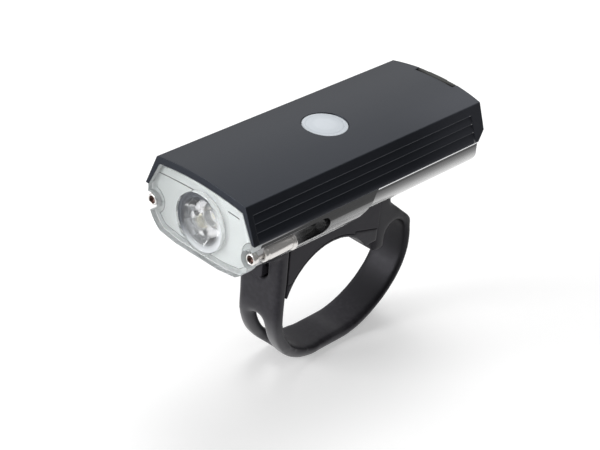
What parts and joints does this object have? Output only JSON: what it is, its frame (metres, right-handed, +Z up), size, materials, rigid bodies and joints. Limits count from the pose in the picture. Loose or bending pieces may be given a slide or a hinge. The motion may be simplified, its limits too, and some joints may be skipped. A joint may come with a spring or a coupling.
{
  "type": "bicycle headlight",
  "caption": "Rechargeable bicycle headlight: long bevelled head with clear front window and top button, swivelling on a saddle with a rubber handlebar strap.",
  "frame": {"origin": "on the axis of the handlebar, on the lamp's middle plane", "axes": "+X along the handlebar, -Y the way the beam points, +Z up, with the lamp above the handlebar"},
  "size_m": [0.038, 0.0829, 0.0649],
  "materials": {
    "shell_black": "satin moulded",
    "casing_grey": "satin gloss",
    "cover_black": "high gloss",
    "window_clear": "polished clear plastic",
    "lens_clear": "polished clear plastic",
    "bezel_pale": "satin",
    "seal_rubber": "matte",
    "bright_metal": "polished",
    "screw_steel": "zinc plated",
    "light_source": "phosphor yellow",
    "metal_core_board": "white solder mask",
    "sink_aluminium": "bead blasted",
    "inner_plastic": "matte",
    "button_pale": "frosted, translucent",
    "plunger_plastic": "matte",
    "board_green": "solder mask",
    "chip_black": "matte",
    "status_lens": "clear green",
    "port_metal": "nickel plated",
    "battery_foil": "laminated foil",
    "foam_grey": "open foam",
    "wire_red": "matte",
    "wire_black": "matte",
    "cover_rubber": "matte",
    "mount_plastic": "fine texture",
    "strap_rubber": "matte"
  },
  "bodies": {
    "mount": {"mount_saddle": "mount_plastic", "saddle_pad": "strap_rubber", "strap": "strap_rubber", "strap_pin": "screw_steel"},
    "head": {"top_shell": "shell_black", "front_casing": "casing_grey", "battery_cover": "cover_black", "front_window": "window_clear", "lens": "lens_clear", "front_bezel": "bezel_pale", "lens_holder": "bezel_pale", "lens_seal": "seal_rubber", "side_screws": "bright_metal", "screw_sleeves": "bright_metal", "cover_screws": "screw_steel", "plate_screws": "screw_steel", "swivel_screw": "screw_steel", "swivel_washer": "screw_steel", "swivel_nut": "screw_steel", "led_chip": "light_source", "led_board": "metal_core_board", "heat_sink": "sink_aluminium", "inner_frame": "inner_plastic", "button_retainer": "inner_plastic", "rear_cap": "inner_plastic", "battery_connector": "inner_plastic", "tact_switch": "inner_plastic", "swivel_plate": "inner_plastic", "circuit_board": "board_green", "protection_board": "board_green", "driver_chip": "chip_black", "power_coil": "chip_black", "status_led": "status_lens", "usb_socket": "port_metal", "battery_cell": "battery_foil", "battery_foam": "foam_grey", "battery_wire_red": "wire_red", "led_wire_red": "wire_red", "battery_wire_black": "wire_black", "led_wire_black": "wire_black"},
    "tail": {"strap_tail": "strap_rubber"},
    "button": {"power_button": "button_pale", "switch_plunger": "plunger_plastic"},
    "flap": {"usb_cover": "cover_rubber"}
  },
  "joints": [
    {"name": "head_swivel", "type": "hinge", "parent": "mount", "child": "head", "pos_m": [0, 0, 0.021], "axis": [0, 0, 1], "range_deg": [-15, 15]},
    {"name": "strap_release", "type": "hinge", "parent": "mount", "child": "tail", "pos_m": [0, 0, -0.0189], "axis": [1, 0, 0], "range_deg": [0, 75], "stiffness_Nm_per_rad": 0.03, "springref_deg": -5.73},
    {"name": "button_press", "type": "slide", "parent": "head", "child": "button", "axis": [0, 0, -1], "range_m": [0, 0.0005], "stiffness_N_per_m": 3000, "springref_m": -0.0002},
    {"name": "usb_flap", "type": "hinge", "parent": "head", "child": "flap", "pos_m": [0, 0.0414, 0.0378], "axis": [-1, 0, 0], "range_deg": [0, 95], "stiffness_Nm_per_rad": 0.002, "springref_deg": -5.73}
  ]
}
